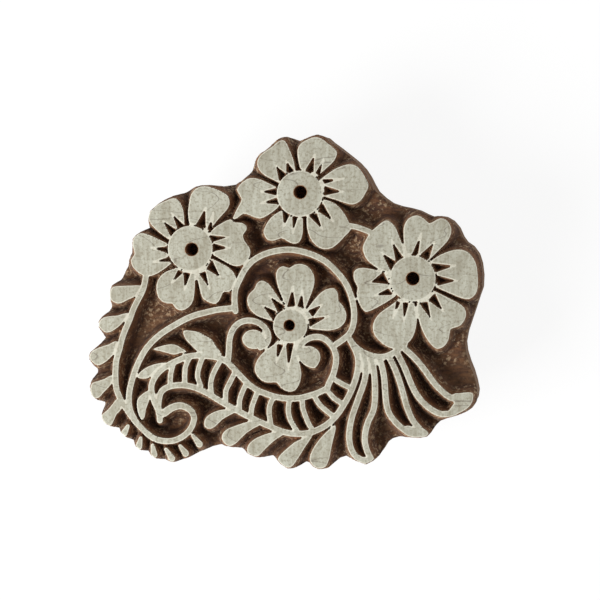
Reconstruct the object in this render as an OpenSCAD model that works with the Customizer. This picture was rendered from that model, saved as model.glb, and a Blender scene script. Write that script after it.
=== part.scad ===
/* [Block] */
// Real size of one square of the drawing sheet
square_size = 0.25; // [0.20:0.01:0.32]
// Thickness of the wood under the carving
base_t = 16; // [12:0.5:30]
// Depth of the carved ground below the printing face
relief_h = 6; // [4:0.5:8]
// Distance from the sawn edge to the carved walls nearest to it
rim_margin = 0.3; // [0.2:0.05:0.6]
// Width of the fine cut round each flower's button
button_cut = 0.45; // [0.3:0.05:0.7]
// Width of the carved lines
line_w = 1.45; // [1.1:0.05:1.8]
// Diameter of the drilled flower centres
eye_d = 3.3; // [2.4:0.1:4]
// Diameter of the drilled centre of the small flower
small_eye_d = 2.8; // [2:0.1:3.4]
// Depth of the drilled centres below the printing face
eye_depth = 9; // [7:0.5:11]

/* [Handle] */
// Length of the handle bar
handle_l = 76; // [60:1:80]
// Width of the handle bar
handle_w = 28; // [24:1:34]
// Height of the handle bar
handle_h = 20; // [16:1:30]
// Radius of the bar's rounded corners, seen from above
handle_corner_r = 6; // [3:0.5:9]
// Depth of the finger hollow along each long side
hollow_depth = 3.5; // [2:0.5:5]
// Height of the finger hollow
hollow_h = 12; // [8:0.5:13]

/* [Nails] */
// Number of nails through the handle
nail_count = 2; // [2:1:3]
// Distance between the outer nails
nail_span = 50; // [36:1:56]
// Diameter of a nail's shank
nail_d = 2.2; // [1.6:0.1:3]
// Length of a nail under its head
nail_l = 26; // [24:0.5:30]
// Diameter of a nail's head
nail_head_d = 4.6; // [3.6:0.1:6]
// Thickness of a nail's head
nail_head_h = 0.9; // [0.6:0.1:1.4]
// How far a head is driven below the handle's face
nail_sunk = 0.8; // [0.4:0.1:1.5]
// Length of a nail's point
nail_point_l = 3; // [2:0.5:4]
// Gap between a nail and its hole, all round
nail_gap = 0.02; // [0.01:0.01:0.1]

/* [Hidden] */
$fn = 48;

// Heights. The handle rests below, and the printing face looks up.
block_z = handle_h;
ground_z = block_z + base_t;
face_z = ground_z + relief_h;

// The motif is drawn on a sheet ruled in squares. A point counts squares from the sheet's left edge and
// down from its top edge.

// Straight steps from one drawn point of a curve to the next
curve_steps = 2;
// Depth of the carving's root in the ground
root_h = 1;
// Growth that joins touching lines into one outline
weld = 0.001;

// Drawing helpers

// A point of the sheet, in millimetres on the block
function on_block(point) =
    [(point[0] - sheet_middle[0]) * square_size, (sheet_middle[1] - point[1]) * square_size];

// One point of a smooth curve between b and c, at the share t of the way, with a and d its neighbours
function curve_point(a, b, c, d, t) =
    (2 * b + (c - a) * t + (2 * a - 5 * b + 4 * c - d) * t * t + (3 * b - a - 3 * c + d) * t * t * t) / 2;

// A smooth open curve through the points
function open_curve(p) = let (last = len(p) - 1) concat(
    [for (i = [0 : last - 1], k = [0 : curve_steps - 1])
        curve_point(p[max(i - 1, 0)], p[i], p[i + 1], p[min(i + 2, last)], k / curve_steps)],
    [p[last]]);

// A smooth closed curve through the points
function closed_curve(p) = let (n = len(p))
    [for (i = [0 : n - 1], k = [0 : curve_steps - 1])
        curve_point(p[(i + n - 1) % n], p[i], p[(i + 1) % n], p[(i + 2) % n], k / curve_steps)];

// The same points in millimetres
function all_on_block(p) = [for (q = p) on_block(q)];

// The unit vector square to a curve at its point i
function across(p, i) = let (
    along = p[min(i + 1, len(p) - 1)] - p[max(i - 1, 0)],
    size = norm(along)) [-along[1] / size, along[0] / size];

// A shape with a smooth closed outline
module leaf(points) polygon(all_on_block(closed_curve(points)));

// A shape with straight sides
module facet_cut(points) polygon(all_on_block(points));

// A line that follows the points with round ends, as wide as start_w at its start and end_w at its end
module line(points, start_w = line_w, end_w = line_w) {
    p = all_on_block(open_curve(points));
    last = len(p) - 1;
    half = [for (i = [0 : last]) (start_w + (end_w - start_w) * i / last) / 2];
    polygon(concat(
        [for (i = [0 : last]) p[i] + across(p, i) * half[i]],
        [for (i = [last : -1 : 0]) p[i] - across(p, i) * half[i]]));
    translate(p[0]) circle(d = start_w, $fn = 12);
    translate(p[last]) circle(d = end_w, $fn = 12);
}

// Flowers
// Each is [middle, button radius in squares, petals, cuts]. A petal's points run round its rim from one side
// of its root to the other. A cut is [tip, root, root].

left_flower = [[193.5, 248.5], 22.5, [
    [[193, 224], [191.5, 214], [192.5, 204], [194.5, 195], [200, 188.5], [208, 186.5], [217, 188.5],
        [226, 192.5], [232, 197], [233, 205], [229, 211.5], [222, 219], [214, 229]],
    [[187.5, 223], [187, 214], [185, 206], [181, 200], [176, 198.5], [168, 201.5], [159, 206],
        [153.5, 211.5], [151.5, 218], [154, 224.5], [161, 231.5], [171, 239]],
    [[170, 243.5], [160.5, 239], [150, 234.5], [142, 233.5], [136.5, 238.5], [135.5, 246], [137.5, 254],
        [133.5, 260.5], [136, 268], [142, 273.5], [150, 276.5], [158, 274.5], [165, 270.5], [171, 266]],
    [[178, 269], [170, 271.5], [163, 277], [159.5, 285], [160, 294], [163.5, 300.5], [170, 303.5],
        [175, 303.5], [179, 308.5], [185, 310.5], [192, 307], [196.5, 300], [198, 287], [198, 273]],
    [[200.5, 273], [201.5, 281], [203.5, 290], [206, 298], [213, 302.5], [219.5, 303.5], [224, 298],
        [227, 291.5], [233, 291.5], [237.5, 284.5], [239.5, 278], [236, 271], [229, 265.5], [216, 259]],
    [[213.5, 233.5], [218, 228], [226, 223], [234, 219.5], [238, 222.5], [245, 223], [249.5, 225.5],
        [250, 230], [246.5, 235], [248, 241], [252.5, 247], [254, 253], [251.5, 260], [246, 264.5],
        [241, 266], [234, 264.5], [225, 259.5], [216, 254.5]]],
    [[[209, 208], [199, 225], [209.5, 229]], [[217, 212.5], [210.5, 229.5], [215, 232]],
        [[175, 213.5], [181, 229.5], [187.5, 225]], [[166, 221], [173, 235.5], [179.5, 229.5]],
        [[154, 248], [170, 246.5], [171, 253.5]], [[156, 262], [171.5, 257], [175, 262]],
        [[174.5, 283.5], [181, 270], [187, 272.5]], [[187.5, 290.5], [186.5, 272], [194, 273.5]],
        [[213, 288.5], [202, 273.5], [209, 271]], [[224, 277.5], [209.5, 269], [215.5, 259]],
        [[232.5, 237], [213, 235], [216.5, 242]], [[233.5, 248], [216.5, 243], [217.5, 251.5]]]];

top_flower = [[303.5, 194], 22.8, [
    [[304.5, 170], [302, 160], [301.5, 151], [304, 145], [310, 141], [318, 138], [325, 139.5], [331, 144],
        [338, 149.5], [340.5, 154], [338, 161], [332, 167], [323, 175]],
    [[299, 170], [297, 160], [293, 150], [288.5, 141.5], [282.5, 142], [276, 147.5], [269, 152],
        [263, 157.5], [261, 164], [263, 170.5], [269, 176], [276, 179.5], [283, 183]],
    [[281, 188], [272, 183.5], [263, 179.5], [254, 178.5], [247, 182], [240.5, 190], [245.5, 199],
        [242, 207], [236.5, 218.5], [241, 218], [247.5, 213.5], [256, 216.5], [264, 218.5],
        [271, 215.5], [277, 211.5], [283.5, 206]],
    [[286, 210.5], [278, 215], [272, 221.5], [268.5, 228], [267.5, 233], [271, 239.5], [278, 240.5],
        [285, 238], [291, 241], [297, 243.5], [303, 242], [306, 235], [306.5, 227], [306.5, 218]],
    [[310.5, 218], [311, 228], [314, 238], [320, 245.5], [328, 249], [336, 247.5], [343, 242],
        [349, 235.5], [354, 230], [352.5, 222.5], [348, 214], [342, 206.5], [335, 202], [328, 200]],
    [[324, 180], [330, 175.5], [338, 170], [346, 166.5], [354, 165], [361, 167.5], [367, 174],
        [371, 181], [371.5, 188], [368, 195], [364, 201], [357, 204.5], [350, 203.5], [341, 200.5],
        [328, 196.5]]],
    [[[318.5, 155], [309, 170.5], [317.5, 173]], [[327.5, 159.5], [319, 173.5], [323.5, 177]],
        [[290, 161], [290, 173], [297.5, 170.5]], [[279.5, 166], [283, 182.5], [290, 174]],
        [[264, 192], [280.5, 188], [280.5, 196]], [[264, 203.5], [280.5, 197.5], [282, 204.5]],
        [[287.5, 227], [286, 210.5], [293.5, 215.5]], [[296.5, 233], [296, 217], [301.5, 218]],
        [[326.5, 230], [313, 216.5], [320.5, 212.5]], [[337, 221.5], [321.5, 211.5], [326.5, 203]],
        [[347, 179], [325.5, 179.5], [328, 184.5]], [[347, 192], [328, 186], [328, 196]]]];

right_flower = [[416, 278], 22.5, [
    [[410.5, 255], [408, 246], [407, 236], [407.5, 226], [412, 218.5], [420, 215.5], [427, 219],
        [432, 223.5], [437, 221.5], [443, 218.5], [449.5, 220.5], [453.5, 227], [453.5, 234], [450, 241],
        [443, 248.5], [433, 258.5]],
    [[407.5, 254], [405.5, 245], [402, 235.5], [398, 226.5], [392, 221], [387, 221.5], [380, 227],
        [373.5, 233], [369.5, 240], [366.5, 247], [368.5, 256], [373, 262], [381, 267.5], [393, 272.5]],
    [[393, 274.5], [382, 270.5], [371, 268], [362, 268], [357.5, 272], [358, 280], [361.5, 287],
        [360.5, 293], [362.5, 302], [367, 309.5], [371, 311], [379, 307.5], [389, 302], [398, 296]],
    [[400.5, 300], [392.5, 306], [384, 312], [378.5, 319], [376.5, 327], [378.5, 334.5], [383, 340],
        [389, 344.5], [396.5, 347.5], [404, 347], [411, 342], [416, 336], [419, 327], [420, 317],
        [418.5, 309], [417, 301]],
    [[420.5, 301], [421, 312], [424, 325], [428.5, 335], [434, 343], [440, 347.5], [447, 345],
        [451.5, 338], [453, 328.5], [457, 326.5], [464, 323.5], [468.5, 315], [467, 307], [460, 301.5],
        [450, 296.5], [438, 290.5]],
    [[432, 262.5], [440, 256.5], [448, 252.5], [456, 250], [464, 249.5], [471, 252.5], [476, 258.5],
        [479, 266], [480, 276], [480, 286], [478, 293], [472, 298], [464, 297], [454, 293], [438, 286]]],
    [[[424.5, 233], [414.5, 255], [421.5, 254]], [[437.5, 241.5], [423, 254.5], [432, 259.5]],
        [[395, 240], [399, 261], [406, 256]], [[385, 252.5], [394, 270.5], [399.5, 261]],
        [[374, 282], [387, 271], [393, 284]], [[378, 295], [392, 287.5], [397, 294.5]],
        [[396.5, 317.5], [399.5, 300.5], [404.5, 301]], [[407, 321], [406, 301.5], [412.5, 302]],
        [[434.5, 319], [422, 302], [431, 300.5]], [[446.5, 310.5], [431, 299.5], [438, 292]],
        [[458, 265], [434, 262.5], [439, 272]], [[460, 280], [440, 274.5], [440, 285.5]]]];

small_flower = [[294, 325.5], 17, [
    [[290, 306], [286, 297], [282, 287], [280, 277], [281, 270], [286.5, 266], [293, 268], [299, 264.5],
        [306, 264], [313, 267.5], [317.5, 275], [318, 283], [315.5, 292], [309, 308]],
    [[289, 307], [283, 298.5], [277.5, 290.5], [272, 283.5], [265.5, 280.5], [260.5, 283.5],
        [258, 289], [252.5, 294.5], [251, 301.5], [254, 309.5], [261, 315.5], [269.5, 318.5], [277, 321]],
    [[310, 310], [317, 301], [323, 294], [330, 289], [338, 288], [341.5, 293], [342, 300], [347, 306],
        [350, 314], [348.5, 321.5], [343, 327], [335, 329.5], [326, 329.5], [312, 328]],
    [[278, 344], [270.5, 349.5], [264, 355.5], [259.5, 363], [258.5, 370.5], [262, 377], [268, 381.5],
        [275, 382], [280.5, 382], [285, 387.5], [292, 391], [299, 389.5], [303.5, 382], [305, 373],
        [303.5, 364], [300.5, 355], [299, 343]]],
    [[[296.5, 286], [290.5, 307], [299.5, 306]], [[306, 290], [301, 306], [308, 308.5]],
        [[273, 295.5], [281.5, 311.5], [289.5, 306.5]], [[266, 305], [276.5, 320], [280.5, 311]],
        [[326, 304], [311.5, 310], [316.5, 317]], [[332.5, 315.5], [312.5, 318], [313, 327]],
        [[280, 362], [280.5, 343], [287.5, 344.5]], [[292, 369.5], [289.5, 344], [297.5, 344]]]];

flowers = [left_flower, top_flower, right_flower, small_flower];
eyes = [[195, 249.5], [304, 192.5], [416, 278], [293, 325]];
eye_sizes = [eye_d, eye_d, eye_d, small_eye_d];

// The petals are cut away round the button and by their own cuts, and the button stands in the middle.
module flower(f) {
    button_r = f[1] * square_size;
    difference() {
        for (petal = f[2]) polygon(all_on_block(concat(open_curve(petal), [f[0]])));
        translate(on_block(f[0])) circle(r = button_r + button_cut, $fn = 40);
        for (cut = f[3]) facet_cut(cut);
    }
    translate(on_block(f[0])) circle(r = button_r, $fn = 40);
}

// Scrolls and stems

ring_line = [[239, 311], [238, 300], [239, 289], [243.5, 279], [248.5, 269.5], [256, 261], [267, 254.5],
    [280, 250.8], [292, 249.5], [303, 250.8], [316, 254.5], [329, 261], [339.5, 270.5], [347.5, 280],
    [353, 290.5], [356.5, 302], [358, 314], [356.5, 326], [351.5, 335], [340, 343.5]];
stem_line = [[148.5, 277], [146, 289], [140.5, 300], [135.5, 310], [132, 320], [127.5, 330], [124, 340],
    [121.5, 350], [118.5, 360], [117.5, 370], [117.5, 380], [118.5, 390], [122.5, 400], [128, 409],
    [133.5, 417], [140, 425], [148, 433], [156, 439], [165, 441.5], [175, 441.5], [184, 438],
    [191, 432.5], [195.5, 425.5], [197.3, 418.5]];
curl_line = [[197.3, 418.5], [195, 412], [189, 407.5], [182, 406], [174, 408.5], [167, 413.5]];
swirl_line = [[237, 308], [228, 308.8], [218, 310.2], [209, 312.5], [199, 315], [189, 319], [179, 324.5],
    [169, 330.5], [159, 338], [149.5, 348], [143, 358.5], [138.2, 369], [134.5, 380], [131.8, 391],
    [131, 402], [133, 413], [139, 424]];
band_upper_line = [[162.5, 421], [161.5, 412], [157.5, 403.5], [154.5, 394], [154, 386], [157, 378.5],
    [162.5, 371.5], [170, 366], [180, 361], [190, 357], [200, 355.5], [211, 356], [221, 357.5],
    [230, 361.5], [240, 371.5], [249, 381], [259, 388.8], [270, 393.5], [281, 396.7], [292, 398],
    [303, 397.5], [313, 395], [322, 392], [331, 387.5]];
band_lower_line = [[161.5, 414], [161, 406], [162, 398], [164.5, 391.5], [171, 387.3], [180, 385.5],
    [190, 385.8], [200, 388.5], [210, 393], [220, 399], [230, 404.7], [240, 410], [250, 415.3],
    [260, 420], [270, 424.5], [280, 428.8], [290, 432], [300, 433.2], [311, 432.5], [321, 429.2],
    [331, 423.5], [339.5, 415.5], [346.5, 405.5], [352.5, 395], [357.5, 383.5], [361, 371.5], [362, 360],
    [359.5, 350], [353, 338]];
left_scroll_line = [[231.5, 360], [232.5, 349], [233, 340], [235.5, 331], [240.5, 324.5], [247.5, 320.8],
    [256, 320.5], [264, 323.5], [270, 329.5], [272.2, 337], [270, 343.5], [264, 347]];
right_scroll_line = [[302, 353], [304, 345.5], [309.5, 339.5], [317, 336.5], [325, 336.8], [332, 341],
    [337.5, 348], [340, 357], [339, 366], [336.5, 375], [332.5, 383], [331, 388]];
left_scroll_eye = [[246, 337.5], [249.5, 332], [256.5, 329.5], [264, 331.5], [269.5, 338.5], [267, 345],
    [260, 348.5], [252, 347.5], [247, 343]];
right_scroll_eye = [[301, 352], [305, 347.5], [312, 345.5], [319, 347.5], [323.5, 353], [323.5, 360],
    [319, 367], [313, 366.5], [306, 362.5], [302, 357]];
flower_tie_line = [[350, 225.5], [360, 227], [371, 231], [379, 235]];

// Rungs of the curved band, from its left end
band_rungs = [
    [[176, 365], [173.5, 374], [173, 384]],
    [[192, 359], [188.2, 368], [187.8, 383]],
    [[205.5, 358], [202, 368], [200.8, 377], [204, 386]],
    [[223.5, 361], [217.8, 371], [214.5, 380], [214, 388], [215, 395]],
    [[237.5, 374], [232.5, 384], [229.2, 391], [229, 401]],
    [[249, 385], [245, 394], [243, 401], [242.8, 409]],
    [[261, 392], [257.8, 400], [255.5, 407], [254.5, 415]],
    [[276.5, 398], [273.5, 405], [272.8, 413], [274.5, 424]],
    [[293, 400], [292, 408], [293, 416], [296, 423], [301, 431]],
    [[306, 399], [306.5, 407], [309.5, 416], [313, 424], [317, 430]],
    [[317.5, 394], [322, 402], [329, 409], [338, 416]],
    [[331.5, 390], [338, 397.5], [347, 403]],
    [[336, 377], [344, 382], [354, 387]]];

// Leaves round the outside, and the leaves between the swirls
leaves = [
    [[143.5, 286], [133, 286], [121, 286.5], [115, 287.5], [112.5, 292], [112.5, 299], [117, 303],
        [123, 303.5], [131, 299.5], [137.5, 296.5], [141.5, 291]],
    [[129.5, 313.5], [120, 316], [110, 317], [104, 319], [100.5, 324.5], [103, 330], [108, 333],
        [114, 331.5], [120, 327.5], [126, 321.5]],
    [[119, 341.5], [111, 345], [103, 347.5], [94.5, 351.5], [91, 357.5], [94, 363], [99, 366],
        [105, 364], [111, 359.5], [116.5, 352.5]],
    [[114, 376], [107, 379.5], [100, 382], [93.5, 384.5], [92, 391], [95, 398.5], [100.5, 398.5],
        [105, 393.5], [110, 388.5], [114, 383]],
    [[119.5, 399.5], [114.5, 405], [109.5, 411], [103.5, 416], [104.5, 421], [108.5, 426], [112.5, 426.5],
        [116, 420.5], [118.5, 415], [122.5, 411], [124, 404.5]],
    [[156, 349.5], [163, 346.8], [171, 344.8], [178, 345], [184, 348], [189.5, 351.8], [183, 353],
        [177, 354.8], [169, 352.8], [162, 351]],
    [[186.5, 331], [193, 330.8], [201, 332], [208, 335.5], [215, 339.5], [219, 346], [225, 354.5],
        [215, 355], [206, 353], [199, 350], [193, 344], [188, 338]],
    [[139.5, 377.5], [144, 371.5], [151, 367], [159, 364.3], [168, 363], [163, 367], [157, 372],
        [151.5, 378], [145, 379]],
    [[151.5, 391], [144, 395.5], [139.8, 400.5], [139.5, 408], [141, 415], [144, 420.5], [147, 417.5],
        [148.2, 410], [150.5, 404], [152, 398]],
    [[239, 411.5], [231, 409.5], [222, 410.5], [213, 414.5], [208, 420], [208, 427], [213.5, 429],
        [219, 426], [225.5, 419.5], [233, 415]],
    [[259, 420.5], [250, 422], [241, 425], [232, 428.5], [227, 432.5], [225, 438], [228, 443.5],
        [233, 446], [239, 443.5], [245, 437.5], [251, 432], [259, 427], [264, 424]],
    [[284, 431.5], [274, 432.5], [264, 436], [256, 440.5], [251.5, 446], [251, 452], [256, 455.5],
        [262, 455.5], [267, 450.5], [273, 444.5], [280, 438.5], [287, 434]],
    [[315, 432.5], [306, 438], [298, 442], [291, 448], [285, 453.5], [281.5, 459], [285, 463.5],
        [291, 467], [296, 465.5], [300, 460], [305, 452.5], [309.5, 445], [315, 437]],
    [[339, 424], [331, 430.5], [323, 439], [316.5, 449], [313.5, 457.5], [316, 464], [322, 467.5],
        [329, 466], [332.5, 459], [334.5, 450], [336.5, 440], [338.8, 431]],
    [[456, 392.5], [463, 391.5], [470, 390.5], [475.5, 391.5], [475.5, 398], [472, 404.5], [465, 409.5],
        [456, 413], [451, 410], [457, 402]],
    [[404, 427.5], [411, 424], [417, 425.5], [425, 426], [431.5, 430.5], [429, 434.5], [420, 435.5],
        [411, 434]],
    [[359, 452.5], [365, 455.5], [371, 456], [376.5, 457.5], [373, 461.5], [368, 462.5], [361, 459.5]]];

// Short teeth under the curl, each from the curl to the rim
teeth = [[[130, 427], [126, 434.5]], [[143, 439], [141, 447.5]], [[155, 446], [156.5, 455.5]],
    [[168.5, 450], [174.5, 459]], [[183, 446.5], [188.5, 454]], [[196, 436], [202.5, 444.5]]];

// Plume strokes, from the collar under the right flower
collar_line = [[353, 338], [358, 345], [366, 351], [376, 355], [386, 356], [395, 353], [402, 348],
    [408, 343]];
plume_lines = [
    [[367, 353], [369.3, 362], [369.5, 372], [367.3, 383], [363.5, 393.5], [359.8, 404], [356, 415],
        [353.5, 427], [353, 438], [355, 448], [360, 455.5], [368, 459.5]],
    [[374.5, 356], [377, 366], [378.2, 377], [378.8, 389], [378.5, 400], [376.8, 410], [372, 420],
        [369.2, 430], [368.5, 440], [371, 450], [375, 458]],
    [[383, 357], [386, 367], [388, 378], [388.8, 390], [389.8, 401], [392.3, 411], [398.5, 420],
        [407, 427.5], [418, 432]],
    [[392, 355], [396, 362.5], [400, 371.5], [403.5, 381.5], [406.5, 391.5], [409, 401], [412.5, 411],
        [417, 420], [423.5, 427.5]],
    [[400, 351], [405.5, 361], [410, 371], [414, 381], [418.8, 391], [426, 400.5], [435, 408],
        [445, 412.3], [457, 411]],
    [[406, 346], [413, 352], [421, 360], [429, 370], [436.5, 380.5], [445, 389.5], [454, 396],
        [465, 398]]];

// Outline of the sawn blank
blank_outline = [[131, 253], [134, 246], [133.5, 240], [137, 235.5], [143, 231.5], [149.5, 228],
    [150, 218], [152, 211], [160, 204], [168, 199], [176, 195.5], [184, 193], [191, 190], [197, 187],
    [204, 185.3], [213, 185], [221, 187], [230, 185.5], [238, 184.3], [245, 180.5], [251, 174.5],
    [255, 167], [258, 160], [262, 154.5], [268, 151], [273, 147], [278, 141.5], [283, 138], [289, 136.8],
    [295, 139], [300, 142], [306, 140], [313, 137], [320, 134.8], [326, 136.5], [331, 141], [338, 146],
    [345, 151.5], [352, 157], [358, 162], [364, 168.5], [369, 176], [373, 184], [377, 191], [384, 197.5],
    [392, 203], [401, 206], [411, 208], [420, 210.5], [428, 214.5], [434, 217], [440, 216], [447, 217],
    [454, 221], [460, 228], [464, 237], [468, 242.5], [474.5, 247], [480, 254.5], [483, 264],
    [484.5, 276], [484, 288], [480.5, 298], [477, 309], [473, 321], [469, 333], [467, 344], [468, 353],
    [471, 363], [475, 373], [478, 383], [480, 393], [479, 400.5], [475, 406.5], [469, 410.5],
    [460, 414], [450, 417], [443.5, 420], [438, 425.5], [434, 431.5], [430, 435.5], [422, 436.8],
    [412, 436.5], [402, 437], [395, 439], [389.5, 443], [386, 449], [382, 455.5], [376, 460.5],
    [369, 464], [361, 461], [354, 458.5], [348, 457], [342, 459], [337, 463], [331, 468], [322, 469.3],
    [316, 466.5], [312.5, 462.5], [308, 463], [303, 466], [297, 468.5], [290, 468.8], [284, 464.5],
    [279, 459.5], [274, 457.5], [266, 458.5], [258, 457.5], [251, 454.5], [246, 451.5], [240, 449.3],
    [232, 447.5], [222, 446.5], [212, 449], [202, 453], [192, 458], [184, 461.3], [176, 463.5],
    [166, 463], [158, 460.3], [153, 457], [147, 453.5], [141, 451.3], [136, 447.5], [130, 441.5],
    [124, 436], [118, 431], [112, 428.3], [106, 425.5], [102, 420.5], [101.8, 412], [102.5, 404.5],
    [96.5, 401], [91.5, 396.5], [89.5, 388], [91, 381], [95, 374.5], [95.5, 369.5], [92, 365.5],
    [88.8, 360], [89.8, 354], [95, 349.5], [100, 345], [103, 339.5], [102, 333.5], [98.8, 328.5],
    [98.8, 322.5], [103, 317], [108, 312.5], [110, 306], [111.5, 299.5], [110.8, 293], [112, 286.5],
    [115.5, 283.5], [119.5, 281], [122, 275.5], [124.5, 270], [127.5, 265], [129.5, 259]];

// The middle of the blank's outline lies over the block's origin.
function middle_of(values) = (min(values) + max(values)) / 2;
sheet_middle = [middle_of([for (p = blank_outline) p[0]]), middle_of([for (p = blank_outline) p[1]])];

module blank_2d() polygon(all_on_block(blank_outline));

module motif_2d() {
    for (f = flowers) flower(f);
    for (points = leaves) leaf(points);
    for (points = [ring_line, stem_line, swirl_line, band_upper_line, band_lower_line,
        left_scroll_line, right_scroll_line, collar_line]) line(points);
    line(curl_line, line_w, line_w * 1.3);
    line(flower_tie_line, line_w * 0.9, line_w * 0.9);
    for (points = [left_scroll_eye, right_scroll_eye]) leaf(points);
    for (points = band_rungs) line(points, line_w * 0.85, line_w * 0.85);
    for (points = plume_lines) line(points);
    for (points = teeth) line(points, line_w * 0.6, line_w * 1.15);
}

// The outline of the carving: the motif, kept a little inside the sawn edge
module carving_2d() offset(delta = weld) intersection() {
    motif_2d();
    offset(delta = -rim_margin) blank_2d();
}

// The carving stands on the ground and is rooted in it.
module relief()
    translate([0, 0, ground_z - root_h]) linear_extrude(relief_h + root_h) carving_2d();

nail_xs = [for (i = [0 : nail_count - 1]) (i / (nail_count - 1) - 0.5) * nail_span];

// Everything that a nail fills, grown all round by gap
module nail_shape(gap = 0) {
    rotate_extrude() polygon([
        [0, -gap], [nail_head_d / 2 + gap, -gap], [nail_head_d / 2 + gap, nail_head_h],
        [nail_d / 2 + gap, nail_head_h], [nail_d / 2 + gap, nail_head_h + nail_l - nail_point_l],
        [0, nail_head_h + nail_l + gap]]);
}

module nails(gap = 0) for (x = nail_xs) translate([x, 0, nail_sunk]) nail_shape(gap);

module carved_block() color("tan") difference() {
    union() {
        translate([0, 0, block_z]) linear_extrude(base_t) blank_2d();
        relief();
    }
    for (i = [0 : len(eyes) - 1])
        translate(concat(on_block(eyes[i]), [face_z - eye_depth]))
            cylinder(d = eye_sizes[i], h = eye_depth + 1);
    nails(nail_gap);
}

// The round hollow that the fingers grip, along one side
module finger_hollow() {
    hollow_r = (hollow_h * hollow_h / 4 + hollow_depth * hollow_depth) / (2 * hollow_depth);
    translate([-handle_l, handle_w / 2 + hollow_r - hollow_depth, handle_h / 2])
        rotate([0, 90, 0]) cylinder(r = hollow_r, h = 2 * handle_l);
}

module handle() color("peru") difference() {
    linear_extrude(handle_h) offset(r = handle_corner_r)
        square([handle_l - 2 * handle_corner_r, handle_w - 2 * handle_corner_r], center = true);
    finger_hollow();
    mirror([0, 1, 0]) finger_hollow();
    nails(nail_gap);
}

module handle_nails() color("silver") nails();

carved_block();
handle();
handle_nails();
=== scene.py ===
"""A hand-carved wooden printing block with a nailed bar grip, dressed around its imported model.

The carved face is worked out from the model's own outlines. Every point of a fine grid gets its distance from
the nearest edge of the printing face, and its height and its colour follow from that distance.
"""

import logging
import math
from collections.abc import Callable
from dataclasses import dataclass
from enum import Enum, IntEnum

import bmesh
import bpy
import numpy as np
from mathutils import Matrix, Vector


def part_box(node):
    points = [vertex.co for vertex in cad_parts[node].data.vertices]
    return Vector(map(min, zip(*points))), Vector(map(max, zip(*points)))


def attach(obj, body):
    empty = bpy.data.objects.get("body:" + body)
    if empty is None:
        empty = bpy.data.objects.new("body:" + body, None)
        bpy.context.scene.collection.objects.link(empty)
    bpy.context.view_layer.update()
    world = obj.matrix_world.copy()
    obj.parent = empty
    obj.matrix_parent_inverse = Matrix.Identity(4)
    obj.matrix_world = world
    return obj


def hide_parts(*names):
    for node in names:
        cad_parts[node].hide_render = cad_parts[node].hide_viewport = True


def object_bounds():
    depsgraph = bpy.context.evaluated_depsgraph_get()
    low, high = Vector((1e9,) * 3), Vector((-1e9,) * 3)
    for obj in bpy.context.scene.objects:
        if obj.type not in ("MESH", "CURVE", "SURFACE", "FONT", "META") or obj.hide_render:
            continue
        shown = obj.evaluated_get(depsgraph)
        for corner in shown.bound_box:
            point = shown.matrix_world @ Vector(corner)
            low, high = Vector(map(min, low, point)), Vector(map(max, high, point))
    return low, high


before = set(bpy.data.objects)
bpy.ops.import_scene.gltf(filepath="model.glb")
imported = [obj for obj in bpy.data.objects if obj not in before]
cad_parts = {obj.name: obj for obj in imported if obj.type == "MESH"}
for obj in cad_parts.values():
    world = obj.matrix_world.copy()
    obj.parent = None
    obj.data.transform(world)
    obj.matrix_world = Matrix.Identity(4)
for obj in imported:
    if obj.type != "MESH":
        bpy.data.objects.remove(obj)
CAD_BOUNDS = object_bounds()

MM = 0.001
log = logging.getLogger("printing_block")


class Node(Enum):
    """The model's nodes."""

    BLOCK = "carved_block"
    HANDLE = "handle"
    NAILS = "handle_nails"


class Seed(IntEnum):
    """The seeds of the ripples, one for each part of the carving."""

    FACE = 3
    GOUGES = 5
    CROSS_GOUGES = 6
    SWELL = 7
    FACETS = 8
    HOLE_FLOOR = 9
    SAW = 11


# Outlines


@dataclass
class Outline:
    """A set of straight edges that closes round one or more areas.

    Attributes:
        start: the edges' first ends, one row each, in metres.
        end: the edges' second ends.
    """

    start: np.ndarray
    end: np.ndarray

    def holds(self, xs: np.ndarray, ys: np.ndarray) -> np.ndarray:
        """Says which points of a grid lie inside, by counting the edges crossed on the way along each row.

        Args:
            xs: the grid's columns.
            ys: the grid's rows.

        Returns:
            True for each point inside, as an array of rows by columns.
        """
        inside = np.zeros((len(ys), len(xs)), bool)
        for row, y in enumerate(ys):
            crossed = (self.start[:, 1] > y) != (self.end[:, 1] > y)
            a, b = self.start[crossed], self.end[crossed]
            at = a[:, 0] + (y - a[:, 1]) * (b[:, 0] - a[:, 0]) / (b[:, 1] - a[:, 1])
            inside[row] = np.searchsorted(np.sort(at), xs) % 2 == 1
        return inside

    def nearest(self, xs: np.ndarray, ys: np.ndarray, reach: float) -> tuple[np.ndarray, np.ndarray]:
        """Finds each grid point's nearest point on the outline, looking no further than reach.

        Each edge is tried on the grid points round it. Its nearest point is the foot of the upright dropped
        on it, or its end where that foot lies past it.

        Args:
            xs: the grid's columns.
            ys: the grid's rows.
            reach: the furthest distance that matters.

        Returns:
            The distances, and the nearest points as an array of rows by columns by 2.
        """
        tiny_square = 1e-16
        distance = np.full((len(ys), len(xs)), reach)
        grid = np.stack(np.meshgrid(xs, ys), axis=-1)
        near = grid.copy()
        for a, b in zip(self.start, self.end):
            low, high = np.minimum(a, b) - reach, np.maximum(a, b) + reach
            cols = slice(np.searchsorted(xs, low[0]), np.searchsorted(xs, high[0]))
            rows = slice(np.searchsorted(ys, low[1]), np.searchsorted(ys, high[1]))
            along = b - a
            size = max(float(along @ along), tiny_square)
            share = np.clip((grid[rows, cols] - a) @ along / size, 0, 1)
            foot = a + share[..., None] * along
            gap = np.linalg.norm(grid[rows, cols] - foot, axis=-1)
            closer = gap < distance[rows, cols]
            distance[rows, cols][closer] = gap[closer]
            near[rows, cols][closer] = foot[closer]
        return distance, near


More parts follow.
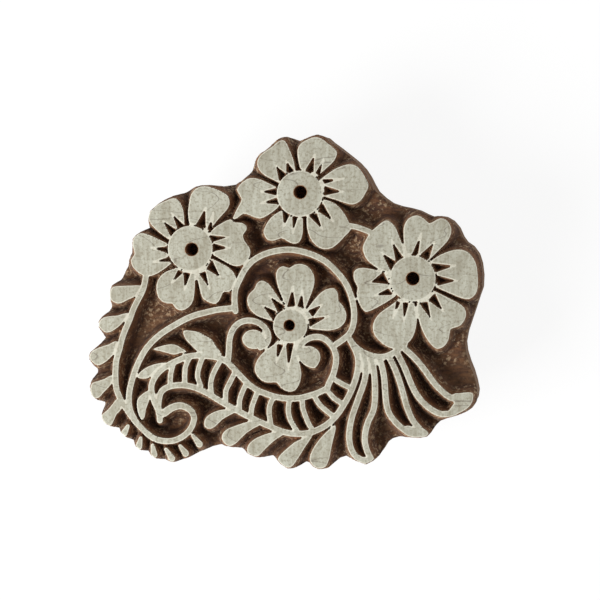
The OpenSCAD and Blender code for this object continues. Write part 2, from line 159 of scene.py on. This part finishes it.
class Solid:
    """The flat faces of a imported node, which its outlines are read from."""

    flat_within = 0.001 * MM
    level_within = 0.01 * MM
    level_digits = 5
    point_digits = 7

    def __init__(self, name: str) -> None:
        """Reads the node's triangles.

        Args:
            name: the node's name.
        """
        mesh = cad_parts[name].data
        mesh.calc_loop_triangles()
        points = np.empty(len(mesh.vertices) * 3)
        mesh.vertices.foreach_get("co", points)
        corners = np.empty(len(mesh.loop_triangles) * 3, int)
        mesh.loop_triangles.foreach_get("vertices", corners)
        self.triangles = points.reshape(-1, 3)[corners].reshape(-1, 3, 3)
        a, b, c = (self.triangles[:, corner] for corner in range(3))
        self.flat = np.ptp(self.triangles[:, :, 2], axis=1) < self.flat_within
        self.up = np.cross(b - a, c - a)[:, 2] > 0

    def levels(self) -> list[float]:
        """The heights of the faces that look up, from the lowest, in metres."""
        heights = self.triangles[self.flat & self.up, 0, 2]
        return sorted(set(np.round(heights, self.level_digits)))

    def outline(self, height: float, up: bool) -> Outline:
        """The edges round the flat faces at one height: those that only one triangle has.

        Args:
            height: the faces' height.
            up: whether the faces look up.

        Returns:
            The outline.
        """
        chosen = self.flat & (self.up == up) & (np.abs(self.triangles[:, 0, 2] - height) < self.level_within)
        ends = np.round(self.triangles[chosen][:, :, :2], self.point_digits)
        first = ends.reshape(-1, 2)
        second = np.roll(ends, -1, axis=1).reshape(-1, 2)
        swap = (first[:, 0] > second[:, 0]) | ((first[:, 0] == second[:, 0]) & (first[:, 1] > second[:, 1]))
        low = np.where(swap[:, None], second, first)
        high = np.where(swap[:, None], first, second)
        edges, counts = np.unique(np.hstack([low, high]), axis=0, return_counts=True)
        rim = edges[counts == 1]
        return Outline(rim[:, :2], rim[:, 2:])


def ripple(x: np.ndarray, y: np.ndarray, size: float, seed: int) -> np.ndarray:
    """Smooth noise from -1 to 1.

    It blends random heights on a lattice. Between two of them the share goes by the curve 3t^2 - 2t^3.

    Args:
        x: the points' first coordinates.
        y: the points' second coordinates.
        size: the lattice's step.
        seed: the seed of the random heights.

    Returns:
        The noise at each point.
    """
    period, shift = 257, 1000
    lattice = np.random.default_rng(seed).uniform(-1, 1, (period, period))
    u, v = x / size + shift, y / size + shift
    i, j = np.floor(u).astype(int), np.floor(v).astype(int)
    s, t = u - i, v - j
    s, t = s * s * (3 - 2 * s), t * t * (3 - 2 * t)
    left, right = i % period, (i + 1) % period
    lower, upper = j % period, (j + 1) % period
    near = lattice[left, lower] * (1 - s) + lattice[right, lower] * s
    far = lattice[left, upper] * (1 - s) + lattice[right, upper] * s
    return near * (1 - t) + far * t


# The carved block


@dataclass
class CarvedPoints:
    """The points of the block's carved side.

    Attributes:
        place: their places seen from above.
        out: distances outwards from the printing face's edge, negative inside it.
        rim: distances inwards from the sawn edge.
        eye: distances outwards from the drilled holes' edges.
        edge_point: the nearest points on the sawn edge.
    """

    place: np.ndarray
    out: np.ndarray
    rim: np.ndarray
    eye: np.ndarray
    edge_point: np.ndarray

    def picked(self, used: np.ndarray) -> "CarvedPoints":
        """The points with the numbers in used, counted along the grid's rows."""
        every = (self.place, self.out, self.rim, self.eye, self.edge_point)
        return CarvedPoints(*(values.reshape(-1, *values.shape[2:])[used] for values in every))


@dataclass
class CarvedBlock:
    """The block of wood: its printing face, carved walls and ground, its sawn edge and its back.

    Attributes:
        cell: the grid's step.
        reach: how far from an edge distances are measured.
        near_hole: how far from a drilled hole's edge an edge still belongs to it.
        worn_edge: width of the worn edge round the printing face.
        worn_depth: how far that edge is worn down.
        face_swell: height of the printing face's swell.
        face_swell_size: width of one swell of it.
        first_drop: the drop right beside the printing face.
        first_width: how far out that drop is done.
        steepness: drop of a wall per length outwards.
        facet_depth: depth of the knife's facets on a wall.
        facet_size: width of a facet.
        foot_blend: how softly a wall meets the ground.
        gouge_depth: depth of the gouge marks on the ground.
        gouge_size: width of a gouge mark.
        cross_gouge_size: width of a mark that crosses them.
        cross_gouge_share: depth of those beside the others.
        ground_swell: height of the ground's swell.
        ground_swell_size: width of one swell of it.
        rim_drop: how far the ground is worn down at the sawn edge.
        rim_width: how far in from the sawn edge it is worn.
        rim_out: the least distance from the printing face that the sawn edge counts as.
        side_out: the distance that the sawn side counts as.
        hole_rough: roughness of a hole's floor.
        hole_rough_size: width of one bump of it.
        wall_rings: rings of faces on the sawn edge.
        saw_depth: depth of the marks on the sawn edge.
        saw_mark_size: width of a saw mark.
        saw_wave: length of the saw's slow wander.
        closed_gap: the widest distance from the printing face in a hairline gap that pigment has closed.
    """

    cell: float = 0.3 * MM
    reach: float = 3.2 * MM
    near_hole: float = 0.25 * MM
    worn_edge: float = 0.3 * MM
    worn_depth: float = 0.08 * MM
    face_swell: float = 0.02 * MM
    face_swell_size: float = 2.5 * MM
    first_drop: float = 0.9 * MM
    first_width: float = 0.12 * MM
    steepness: float = 3.1
    facet_depth: float = 0.25 * MM
    facet_size: float = 0.8 * MM
    foot_blend: float = 0.35 * MM
    gouge_depth: float = 0.35 * MM
    gouge_size: float = 1.1 * MM
    cross_gouge_size: float = 0.55 * MM
    cross_gouge_share: float = 0.6
    ground_swell: float = 0.6 * MM
    ground_swell_size: float = 6 * MM
    rim_drop: float = 0.5 * MM
    rim_width: float = 1.2 * MM
    rim_out: float = 0.3 * MM
    side_out: float = 2 * MM
    hole_rough: float = 0.3 * MM
    hole_rough_size: float = 0.6 * MM
    wall_rings: int = 8
    saw_depth: float = 0.12 * MM
    saw_mark_size: float = 0.9 * MM
    saw_wave: float = 9 * MM
    closed_gap: float = 0.33 * MM

    def __post_init__(self) -> None:
        """Reads the solid's levels and outlines."""
        solid = Solid(Node.BLOCK.value)
        low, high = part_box(Node.BLOCK.value)
        self.low, self.high = np.array(low), np.array(high)
        levels = solid.levels()
        self.face_z, self.ground_z, self.hole_z = levels[-1], levels[-2], levels[-3]
        self.holes = solid.outline(self.hole_z, True)
        self.crest = self._without(solid.outline(self.face_z, True), self._near_holes)
        self.edge = self._without(solid.outline(float(self.low[2]), False), self._under_handle)

    @staticmethod
    def _without(outline: Outline, unwanted: Callable[[np.ndarray], np.ndarray]) -> Outline:
        """The outline without the edges whose middles are unwanted."""
        keep = ~unwanted((outline.start + outline.end) / 2)
        return Outline(outline.start[keep], outline.end[keep])

    def _near_holes(self, points: np.ndarray) -> np.ndarray:
        """Says which points lie on the drilled holes' rims."""
        gaps = np.linalg.norm(points[:, None] - self.holes.start[None], axis=-1)
        return gaps.min(axis=1) < self.near_hole

    @staticmethod
    def _under_handle(points: np.ndarray) -> np.ndarray:
        """Says which points lie over the handle."""
        low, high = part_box(Node.HANDLE.value)
        return np.all((points > np.array(low)[:2]) & (points < np.array(high)[:2]), axis=1)

    @staticmethod
    def _widest(out: np.ndarray) -> np.ndarray:
        """The greatest of the distances within two cells of each grid point."""
        cells = 2
        side = 2 * cells + 1
        padded = np.pad(out, cells, mode="edge")
        return np.lib.stride_tricks.sliding_window_view(padded, (side, side)).max(axis=(2, 3))

    def _grid(self) -> CarvedPoints:
        """Lays the grid, and moves its points near an edge onto it, so that edges are sharp and smooth.

        Returns:
            The points, as arrays of rows by columns.
        """
        margin = 3 * self.cell
        xs = np.arange(self.low[0] - margin, self.high[0] + margin, self.cell)
        ys = np.arange(self.low[1] - margin, self.high[1] + margin, self.cell)
        near_crest, crest_point = self.crest.nearest(xs, ys, self.reach)
        near_edge, edge_point = self.edge.nearest(xs, ys, self.reach)
        near_hole, hole_point = self.holes.nearest(xs, ys, self.reach)
        out = np.where(self.crest.holds(xs, ys), -near_crest, near_crest)
        rim = np.where(self.edge.holds(xs, ys), near_edge, -near_edge)
        eye = np.where(self.holes.holds(xs, ys), -near_hole, near_hole)
        hairline = (out > -self.cell) & (self._widest(out) < self.closed_gap)
        out[hairline] = -0.5 * self.worn_edge

        snap = 0.5 * self.cell
        place = np.stack(np.meshgrid(xs, ys), axis=-1)
        on_crest = (near_crest < snap) & ~hairline
        on_hole = near_hole < snap
        place[on_crest] = crest_point[on_crest]
        place[on_hole] = hole_point[on_hole]
        out[on_crest] = 0
        eye[on_hole] = 0
        return CarvedPoints(place, out, rim, eye, edge_point)

    def _faces(self, rim: np.ndarray) -> np.ndarray:
        """Picks the grid's squares inside the sawn edge, and drops those in no full group of two by two.

        Args:
            rim: distances inwards from the sawn edge, as rows by columns.

        Returns:
            The squares, each as the numbers of its four points.
        """
        kept = rim > -0.45 * self.cell
        quads = kept[:-1, :-1] & kept[1:, :-1] & kept[:-1, 1:] & kept[1:, 1:]
        full = quads[:-1, :-1] & quads[1:, :-1] & quads[:-1, 1:] & quads[1:, 1:]
        opened = np.zeros_like(quads)
        opened[:-1, :-1] |= full
        opened[1:, :-1] |= full
        opened[:-1, 1:] |= full
        opened[1:, 1:] |= full
        rows, cols = np.nonzero(opened)
        index = np.arange(rim.size).reshape(rim.shape)
        corners = ((rows, cols), (rows, cols + 1), (rows + 1, cols + 1), (rows + 1, cols))
        return np.stack([index[corner] for corner in corners], axis=1)

    def _height(self, x: np.ndarray, y: np.ndarray, out: np.ndarray, rim: np.ndarray) -> np.ndarray:
        """Works out the surface's height.

        Inside the printing face it is flat, with an edge worn down by the square of the nearness. Outside, it
        drops at once by first_drop and then along a straight wall, until that wall meets the gouged ground.
        Wall and ground blend by the logarithm of the sum of their exponentials.

        Args:
            x: the points' first coordinates.
            y: the points' second coordinates.
            out: distance outwards from the printing face's edge, negative inside it.
            rim: distance inwards from the sawn edge.

        Returns:
            The heights.
        """
        near_edge = np.clip(1 + out / self.worn_edge, 0, 1)
        face = self.face_z - self.worn_depth * near_edge**2
        face = face + self.face_swell * ripple(x, y, self.face_swell_size, Seed.FACE)

        crossing = self.cross_gouge_share * ripple(x + y, x - y, self.cross_gouge_size, Seed.CROSS_GOUGES)
        marks = ripple(x, y, self.gouge_size, Seed.GOUGES) + crossing
        swell = self.ground_swell * ripple(x, y, self.ground_swell_size, Seed.SWELL)
        ground = self.ground_z + 0.5 * self.gouge_depth * marks + swell
        ground = ground - self.rim_drop * np.clip(1 - rim / self.rim_width, 0, 1) ** 2

        facets = self.facet_depth * ripple(x, y, self.facet_size, Seed.FACETS)
        wall = self.face_z - self.first_drop - self.steepness * np.maximum(out, 0) + facets
        carved = self.foot_blend * np.logaddexp(wall / self.foot_blend, ground / self.foot_blend)
        step = self.face_z - self.first_drop * np.clip(out / self.first_width, 0, 1)
        return np.where(out <= 0, face, np.minimum(carved, step))

    def _carved_heights(self, points: CarvedPoints) -> np.ndarray:
        """The heights of all the points, the holes' rippled floors among them."""
        x, y = points.place[:, 0], points.place[:, 1]
        floor = self.hole_z + self.hole_rough * ripple(x, y, self.hole_rough_size, Seed.HOLE_FLOOR)
        return np.where(points.eye < 0, floor, self._height(x, y, points.out, points.rim))

    @staticmethod
    def _border(faces: np.ndarray, count: int) -> tuple[np.ndarray, np.ndarray]:
        """Finds the edges that only one square has: those with no twin that runs the other way.

        Args:
            faces: the squares.
            count: the number of points.

        Returns:
            The edges' first and second points.
        """
        first, second = faces.ravel(), np.roll(faces, -1, axis=1).ravel()
        border = ~np.isin(first * count + second, second * count + first)
        return first[border], second[border]

    def _side(self, points: np.ndarray, tail: np.ndarray, head: np.ndarray) -> tuple[np.ndarray, np.ndarray]:
        """Carries the rim down to the back in rings, each ring moved inwards by the saw's marks.

        A mark's depth is half a ripple and half a sine along x. It fades to nothing at the top and the back.

        Args:
            points: the carved side's points.
            tail: the first points of the rim's edges.
            head: the second points of the rim's edges.

        Returns:
            The rings' points, and the squares between the rings, which are numbered after the carved side's.
        """
        ring_of = np.full(len(points), -1)
        ring_of[tail] = np.arange(len(tail))
        following = ring_of[head]
        rim = points[tail]
        outward = self._outward(rim[:, :2], following)
        wander = np.sin(2 * math.pi * rim[:, :1] / self.saw_wave)
        rings, walls = [], []
        above = tail
        for ring in range(1, self.wall_rings + 1):
            share = ring / self.wall_rings
            level = rim[:, 2] * (1 - share) + self.low[2] * share
            mark = ripple(rim[:, 0], level, self.saw_mark_size, Seed.SAW)[:, None]
            cut = self.saw_depth * (1 - abs(2 * share - 1)) * (0.5 * mark + 0.5 * wander)
            rings.append(np.column_stack([rim[:, :2] - outward * np.abs(cut), level]))
            this = len(points) + (ring - 1) * len(tail) + np.arange(len(tail))
            walls.append(np.stack([above[following], above, this, this[following]], axis=1))
            above = this
        return np.vstack(rings), np.vstack(walls)

    @staticmethod
    def _outward(rim: np.ndarray, following: np.ndarray) -> np.ndarray:
        """The rim's outward directions, square to each edge that leaves a rim point."""
        shortest = 1e-9
        along = rim[following] - rim
        side = np.column_stack([along[:, 1], -along[:, 0]])
        return side / np.maximum(np.linalg.norm(side, axis=1, keepdims=True), shortest)

    @staticmethod
    def _close(mesh: bpy.types.Mesh) -> None:
        """Closes the mesh with its back, and turns its faces outwards."""
        work = bmesh.new()
        work.from_mesh(mesh)
        bmesh.ops.edgeloop_fill(work, edges=[edge for edge in work.edges if edge.is_boundary])
        bmesh.ops.recalc_face_normals(work, faces=work.faces)
        work.to_mesh(mesh)
        work.free()

    def build(self) -> bpy.types.Object:
        """Builds the block as one closed mesh, which carries what its finish reads.

        Returns:
            The new object.
        """
        grid = self._grid()
        used, packed = np.unique(self._faces(grid.rim), return_inverse=True)
        faces = packed.reshape(-1, 4)
        carved = grid.picked(used)
        tail, head = self._border(faces, len(used))
        carved.place[tail] = carved.edge_point[tail]
        carved.out[tail] = np.maximum(carved.out[tail], self.rim_out)
        carved.rim[tail] = 0
        top = np.column_stack([carved.place, self._carved_heights(carved)])
        side, walls = self._side(top, tail, head)
        points = np.vstack([top, side])

        mesh = bpy.data.meshes.new("printing_block")
        mesh.from_pydata(points.tolist(), [], np.vstack([faces, walls]).tolist())
        marks = {
            "out_mm": np.concatenate([carved.out, np.full(len(side), self.side_out)]) / MM,
            "depth_mm": (self.face_z - points[:, 2]) / MM,
            "hole": np.concatenate([(carved.eye <= 0).astype(float), np.zeros(len(side))]),
        }
        for name, values in marks.items():
            mesh.attributes.new(name, "FLOAT", "POINT").data.foreach_set("value", values)
        self._close(mesh)
        return bpy.data.objects.new("printing_block", mesh)


# Materials


class Value:
    """A socket that carries a number or a colour. Python's operators turn the numbers into Math nodes."""

    def __init__(self, graph: "Graph", socket: bpy.types.NodeSocket) -> None:
        """Keeps the socket and the graph that it belongs to."""
        self.graph = graph
        self.socket = socket

    def _math(self, operation: str, first: object, second: object) -> "Value":
        """Adds a Math node."""
        return self.graph.add("ShaderNodeMath", {"operation": operation}, {0: first, 1: second})

    def __add__(self, other: object) -> "Value":
        """Adds."""
        return self._math("ADD", self, other)

    def __mul__(self, other: object) -> "Value":
        """Multiplies."""
        return self._math("MULTIPLY", self, other)

    def __sub__(self, other: object) -> "Value":
        """Takes the other away."""
        return self._math("SUBTRACT", self, other)

    def __rsub__(self, other: object) -> "Value":
        """Is taken away from the other."""
        return self._math("SUBTRACT", other, self)

    __radd__ = __add__
    __rmul__ = __mul__

    def ramp(self, low: float, high: float) -> "Value":
        """Rises smoothly from 0 at low to 1 at high."""
        settings = {"interpolation_type": "SMOOTHSTEP"}
        return self.graph.add("ShaderNodeMapRange", settings, {0: self, 1: low, 2: high, 3: 0.0, 4: 1.0})


Color = tuple[float, float, float]
Stretch = tuple[float, float, float]


class Graph:
    """The nodes of a material or of the world."""

    mix_first, mix_second, mix_result = 6, 7, 2
    noise_roughness = 0.6

    def __init__(self, owner: bpy.types.Material | bpy.types.World) -> None:
        """Empties the owner's nodes.

        Args:
            owner: the material, or the world.
        """
        owner.use_nodes = True
        self.owner = owner
        self.tree = owner.node_tree
        self.tree.nodes.clear()

    def add(self, kind: str, settings: dict, inputs: dict, output: int | str = 0) -> Value:
        """Adds a node.

        Args:
            kind: the node's type.
            settings: its settings, which are set first.
            inputs: the values or links of its sockets.
            output: which of its outputs is wanted.

        Returns:
            That output.
        """
        node = self.tree.nodes.new(kind)
        for name, value in settings.items():
            setattr(node, name, value)
        for key, value in inputs.items():
            if isinstance(value, Value):
                self.tree.links.new(value.socket, node.inputs[key])
            else:
                node.inputs[key].default_value = value
        return Value(self, node.outputs[output])

    def attribute(self, name: str) -> Value:
        """A number that the mesh carries."""
        return self.add("ShaderNodeAttribute", {"attribute_name": name}, {}, "Fac")

    def place(self, stretch: Stretch) -> Value:
        """The object's own coordinates, stretched."""
        spot = self.add("ShaderNodeTexCoord", {}, {}, "Object")
        return self.add("ShaderNodeMapping", {}, {"Vector": spot, "Scale": stretch})

    def noise(self, size: float, detail: float = 4, stretch: Stretch = (1, 1, 1)) -> Value:
        """Noise from 0 to 1 whose features measure about size, in metres."""
        inputs = {"Vector": self.place(stretch), "Scale": 1 / size, "Detail": detail}
        return self.add("ShaderNodeTexNoise", {}, inputs | {"Roughness": self.noise_roughness}, "Fac")

    def mix(self, factor: Value | float, first: Value | Color, second: Value | Color) -> Value:
        """A colour between the first and the second."""
        first, second = (paint if isinstance(paint, Value) else (*paint, 1) for paint in (first, second))
        inputs = {0: factor, self.mix_first: first, self.mix_second: second}
        return self.add("ShaderNodeMix", {"data_type": "RGBA"}, inputs, self.mix_result)

    def finish(self, color: Value, roughness: Value, bump: Value, height: float, metallic: float = 0) -> None:
        """Closes the material with a Principled shader and its bump.

        Args:
            color: its base colour.
            roughness: its roughness.
            bump: the height of its fine relief, from 0 to 1.
            height: what 1 in bump measures, in metres.
            metallic: 1 on bare metal.
        """
        relief = self.add("ShaderNodeBump", {}, {"Height": bump, "Distance": height, "Strength": 1.0})
        inputs = {"Base Color": color, "Roughness": roughness, "Metallic": metallic, "Normal": relief}
        self.close(self.add("ShaderNodeBsdfPrincipled", {}, inputs, "BSDF"), "ShaderNodeOutputMaterial")

    def close(self, shader: Value, kind: str) -> None:
        """Joins a shader to the output node of that kind."""
        end = self.tree.nodes.new(kind)
        self.tree.links.new(shader.socket, end.inputs["Surface"])


@dataclass(frozen=True)
class CarvedWoodFinish:
    """Brown wood with pale dried pigment on its printing face.

    Attributes:
        pigment: the dried pigment.
        thin_pigment: the pigment where the wood shows through it.
        pale_rim_and_highlight: the pale edge of the printing face, partly pigment on the worn edge and partly
            a painted highlight.
        wood: the carved walls.
        dark_wood_and_depth_shade: painted shade that darkens the deep ground, and the wood's dark grain and
            the cracks.
        dust: specks of dried pigment on the ground.
        sawn_wood: the sawn side.
        ragged_width: how far the pigment's edge strays, in millimetres.
        dull: the roughness of bare wood.
        pigment_sheen: how much smoother the pigment is.
        bump_height: the height of the fine grain.
    """

    pigment: Color = (0.385, 0.38, 0.312)
    thin_pigment: Color = (0.17, 0.145, 0.095)
    pale_rim_and_highlight: Color = (0.72, 0.69, 0.58)
    wood: Color = (0.20, 0.084, 0.028)
    dark_wood_and_depth_shade: Color = (0.034, 0.010, 0.003)
    dust: Color = (0.46, 0.33, 0.20)
    sawn_wood: Color = (0.22, 0.125, 0.060)
    ragged_width: float = 0.14
    dull: float = 0.93
    pigment_sheen: float = 0.05
    bump_height: float = 0.06 * MM

    def _printing_face(self, g: Graph, out: Value) -> Value:
        """Dried pigment: thinner along the brush strokes and in pores, with cracks and a pale edge that is
        partly worn pigment and partly a painted highlight.

        Args:
            g: the material's nodes.
            out: distance outwards from the printing face's edge, in millimetres.

        Returns:
            Its colour.
        """
        pores = g.noise(0.7 * MM, 6).ramp(0.48, 0.64)
        strokes = g.noise(0.9 * MM, 5, (1, 0.16, 1)).ramp(0.35, 0.7)
        patches = g.noise(9 * MM, 3).ramp(0.35, 0.7)
        drift = g.noise(7 * MM, 1, (0.3, 1, 1))
        cracks = drift.ramp(0.490, 0.496) * (1 - drift.ramp(0.496, 0.502))
        pale = g.mix(strokes * 0.4 + patches * 0.3, self.pigment, self.thin_pigment)
        pale = g.mix(pores * 0.6, pale, self.thin_pigment)
        pale = g.mix(cracks * 0.5, pale, self.dark_wood_and_depth_shade)
        # The pale band along the printing face's edge is partly pigment on the worn edge and partly a painted
        # highlight.
        return g.mix(out.ramp(-0.32, -0.05) * 0.5, pale, self.pale_rim_and_highlight)

    def _cut_wood(self, g: Graph, out: Value, depth: Value, fibres: Value) -> Value:
        """Bare wood: darker with depth, which is painted shade in the recesses, lighter where sawn, with
        dust, and smeared near the face.

        Args:
            g: the material's nodes.
            out: distance outwards from the printing face's edge, in millimetres.
            depth: depth below the printing face, in millimetres.
            fibres: the wood's grain, from 0 to 1.

        Returns:
            Its colour.
        """
        # Darker towards the deep ground: painted shade in the recesses, mixed with the real dark grain.
        wood = g.mix(fibres * 0.5 + depth.ramp(0.8, 4.8) * 0.6, self.wood, self.dark_wood_and_depth_shade)
        sawn = (depth + g.noise(3 * MM, 3) * 3).ramp(6.5, 10.5)
        wood = g.mix(sawn * 0.55, wood, self.sawn_wood)
        specks = g.noise(0.9 * MM, 5).ramp(0.50, 0.62) * g.noise(5 * MM, 2).ramp(0.38, 0.58)
        wood = g.mix(specks * (0.7 - sawn * 0.62), wood, self.dust)
        beside = (1 - out.ramp(0.0, 0.5)) * (1 - depth.ramp(0.4, 2.6))
        smear = beside * g.noise(2.5 * MM, 3).ramp(0.4, 0.7)
        return g.mix(smear * 0.5, wood, self.thin_pigment)

    def material(self) -> bpy.types.Material:
        """Builds the material from the mesh's own distances from the printing face's edge.

        Returns:
            The material.
        """
        g = Graph(bpy.data.materials.new("pigmented_carved_wood"))
        out, depth, hole = g.attribute("out_mm"), g.attribute("depth_mm"), g.attribute("hole")
        fibres = g.noise(0.8 * MM, 5, (0.3, 1, 1)).ramp(0.3, 0.7)
        ragged = (g.noise(0.6 * MM) - 0.5) * self.ragged_width
        on_face = 1 - (out + ragged).ramp(-0.02, 0.07)
        color = g.mix(on_face, self._cut_wood(g, out, depth, fibres), self._printing_face(g, out))
        color = g.mix(hole.ramp(0.4, 0.9), color, self.wood)
        grain = g.noise(0.3 * MM, 6) * 0.6 + fibres * 0.4
        g.finish(color, self.dull - on_face * self.pigment_sheen, grain, self.bump_height)
        return g.owner


@dataclass(frozen=True)
class GripWoodFinish:
    """Bare wood with its grain along the bar.

    Attributes:
        light: the early wood.
        dark: the late wood and the pores.
        dull: the roughness of untouched wood.
        polish: how much smoother a worn place is.
        bump_height: the height of the grain.
    """

    light: Color = (0.42, 0.25, 0.12)
    dark: Color = (0.20, 0.10, 0.045)
    dull: float = 0.62
    polish: float = 0.14
    bump_height: float = 0.08 * MM

    def material(self) -> bpy.types.Material:
        """Builds the material: long bands of noise for the grain, and short fine ones for the pores.

        Returns:
            The material.
        """
        g = Graph(bpy.data.materials.new("hand_worn_grip_wood"))
        bands = g.noise(2.2 * MM, 5, (0.06, 1, 1)).ramp(0.3, 0.7)
        pores = g.noise(0.4 * MM, 4, (0.08, 1, 1)).ramp(0.55, 0.7)
        worn = g.noise(12 * MM, 2).ramp(0.4, 0.7)
        color = g.mix(pores * 0.5, g.mix(bands, self.light, self.dark), self.dark)
        relief = bands * 0.5 + pores * -0.5 + 0.5
        g.finish(color, self.dull - worn * self.polish, relief, self.bump_height)
        return g.owner


@dataclass(frozen=True)
class NailSteelFinish:
    """Dull steel with rust in its pits.

    Attributes:
        steel: the bare metal.
        rust: the rust.
        smooth: the roughness of bare metal.
        rust_rough: how much rougher the rust is.
        bump_height: the depth of the pits.
        metallic: how metallic all of it is.
    """

    steel: Color = (0.42, 0.41, 0.40)
    rust: Color = (0.16, 0.06, 0.025)
    smooth: float = 0.4
    rust_rough: float = 0.3
    bump_height: float = 0.03 * MM
    metallic: float = 0.9

    def material(self) -> bpy.types.Material:
        """Builds the material.

        Returns:
            The material.
        """
        g = Graph(bpy.data.materials.new("dull_nail_steel"))
        pits = g.noise(0.7 * MM, 5).ramp(0.5, 0.68)
        color = g.mix(pits * 0.7, self.steel, self.rust)
        g.finish(color, pits * self.rust_rough + self.smooth, pits, self.bump_height, self.metallic)
        return g.owner


# The studio


@dataclass
class Studio:
    """The camera, the lamps, the world and the floor.

    Attributes:
        view_width: width of the picture at the printing face.
        distance: the camera's distance from the face.
        turn_deg: how far the camera stands to the right.
        tilt_deg: how far it stands towards the top of the picture.
        middle: the point of the printing face in the middle of the picture.
        sensor: the camera's sensor width, in millimetres.
        nearest: the nearest distance that the camera sees.
        key_spot: the place of the key lamp.
        key_power: its power, in watts.
        key_size: its width.
        fill_spot: the place of the fill lamp.
        fill_power: its power, in watts.
        fill_size: its width.
        lamp_aim: the height that the lamps look at.
        ambient: the strength of the light from all round.
        floor_half: half the floor's width.
        floor_white: how much of what the camera sees of the floor is plain white.
        floor_color: the floor's colour, which the shadow falls on.
    """

    view_width: float = 149.2 * MM
    distance: float = 0.6
    turn_deg: float = 6.0
    tilt_deg: float = 2.0
    middle: tuple[float, float] = (4.3 * MM, 0.6 * MM)
    sensor: float = 36.0
    nearest: float = 10 * MM
    key_spot: tuple[float, float, float] = (-0.34, -0.22, 0.46)
    key_power: float = 5.6
    key_size: float = 0.30
    fill_spot: tuple[float, float, float] = (0.40, 0.35, 0.50)
    fill_power: float = 1.0
    fill_size: float = 0.50
    lamp_aim: float = 30 * MM
    ambient: float = 0.28
    floor_half: float = 3.0
    floor_white: float = 0.9
    floor_color: tuple[float, float, float, float] = (0.9, 0.9, 0.9, 1)

    def camera(self) -> None:
        """Places the camera and makes it the scene's."""
        target = Vector((*self.middle, CAD_BOUNDS[1][2]))
        turn, tilt = math.radians(self.turn_deg), math.radians(self.tilt_deg)
        away = Vector((math.sin(turn), math.sin(tilt), math.cos(turn) * math.cos(tilt))).normalized()
        data = bpy.data.cameras.new("camera")
        data.sensor_width = self.sensor
        data.lens = self.sensor * self.distance / self.view_width
        data.clip_start = self.nearest
        camera = bpy.data.objects.new("camera", data)
        right = Vector((0, 1, 0)).cross(away).normalized()
        up = away.cross(right)
        turned = Matrix((right, up, away)).transposed().to_4x4()
        camera.matrix_world = Matrix.Translation(target + away * self.distance) @ turned
        bpy.context.scene.collection.objects.link(camera)
        bpy.context.scene.camera = camera

    def lamp(self, name: str, spot: tuple[float, float, float], power: float, size: float) -> None:
        """Adds a soft lamp that looks at the block.

        Args:
            name: the lamp's name.
            spot: its place.
            power: its power, in watts.
            size: its width.
        """
        data = bpy.data.lights.new(name, "AREA")
        data.energy, data.size = power, size
        lamp = bpy.data.objects.new(name, data)
        lamp.location = spot
        back = Vector(spot) - Vector((0, 0, self.lamp_aim))
        lamp.rotation_euler = back.to_track_quat("Z", "Y").to_euler()
        bpy.context.scene.collection.objects.link(lamp)

    def world(self) -> None:
        """Lights all round softly, with a white background for the camera and for gloss."""
        world = bpy.data.worlds.new("studio")
        bpy.context.scene.world = world
        g = Graph(world)
        camera = g.add("ShaderNodeLightPath", {}, {}, "Is Camera Ray")
        gloss = g.add("ShaderNodeLightPath", {}, {}, "Is Glossy Ray")
        seen = g.add("ShaderNodeMath", {"operation": "MAXIMUM"}, {0: camera, 1: gloss})
        strength = seen * (1 - self.ambient) + self.ambient
        sky = g.add("ShaderNodeBackground", {}, {"Color": (1, 1, 1, 1), "Strength": strength})
        g.close(sky, "ShaderNodeOutputWorld")

    def floor(self) -> None:
        """Lays a pale floor, which the camera sees as nearly white with a soft shadow."""
        half = self.floor_half
        corners = [(-half, -half, 0), (half, -half, 0), (half, half, 0), (-half, half, 0)]
        mesh = bpy.data.meshes.new("floor")
        mesh.from_pydata(corners, [], [(0, 1, 2, 3)])
        floor = bpy.data.objects.new("floor", mesh)
        bpy.context.scene.collection.objects.link(floor)
        g = Graph(bpy.data.materials.new("pale_floor"))
        dull = g.add("ShaderNodeBsdfDiffuse", {}, {"Color": self.floor_color})
        white = g.add("ShaderNodeEmission", {}, {"Color": (1, 1, 1, 1), "Strength": 1.0})
        seen = g.add("ShaderNodeLightPath", {}, {}, "Is Camera Ray") * self.floor_white
        g.close(g.add("ShaderNodeMixShader", {}, {0: seen, 1: dull, 2: white}), "ShaderNodeOutputMaterial")
        mesh.materials.append(g.owner)

    def build(self) -> None:
        """Builds all of it."""
        bpy.context.scene.view_settings.view_transform = "Standard"
        self.camera()
        self.lamp("key", self.key_spot, self.key_power, self.key_size)
        self.lamp("fill", self.fill_spot, self.fill_power, self.fill_size)
        self.world()
        self.floor()


def dress(node: Node, material: bpy.types.Material) -> None:
    """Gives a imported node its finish, and reports it.

    Args:
        node: the node.
        material: its finish.
    """
    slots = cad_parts[node.value].data.materials
    slots.clear()
    slots.append(material)
    log.info("%s: dressed in %s", node.value, material.name)


def main() -> None:
    """Builds the studio and the block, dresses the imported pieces, and reports each piece."""
    logging.basicConfig(level=logging.INFO)
    Studio().build()
    block = CarvedBlock().build()
    bpy.context.scene.collection.objects.link(block)
    block.data.materials.append(CarvedWoodFinish().material())
    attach(block, "root")
    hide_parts(Node.BLOCK.value)
    log.info("%s: %d faces", block.name, len(block.data.polygons))
    dress(Node.HANDLE, GripWoodFinish().material())
    dress(Node.NAILS, NailSteelFinish().material())


if __name__ == "__main__":
    main()
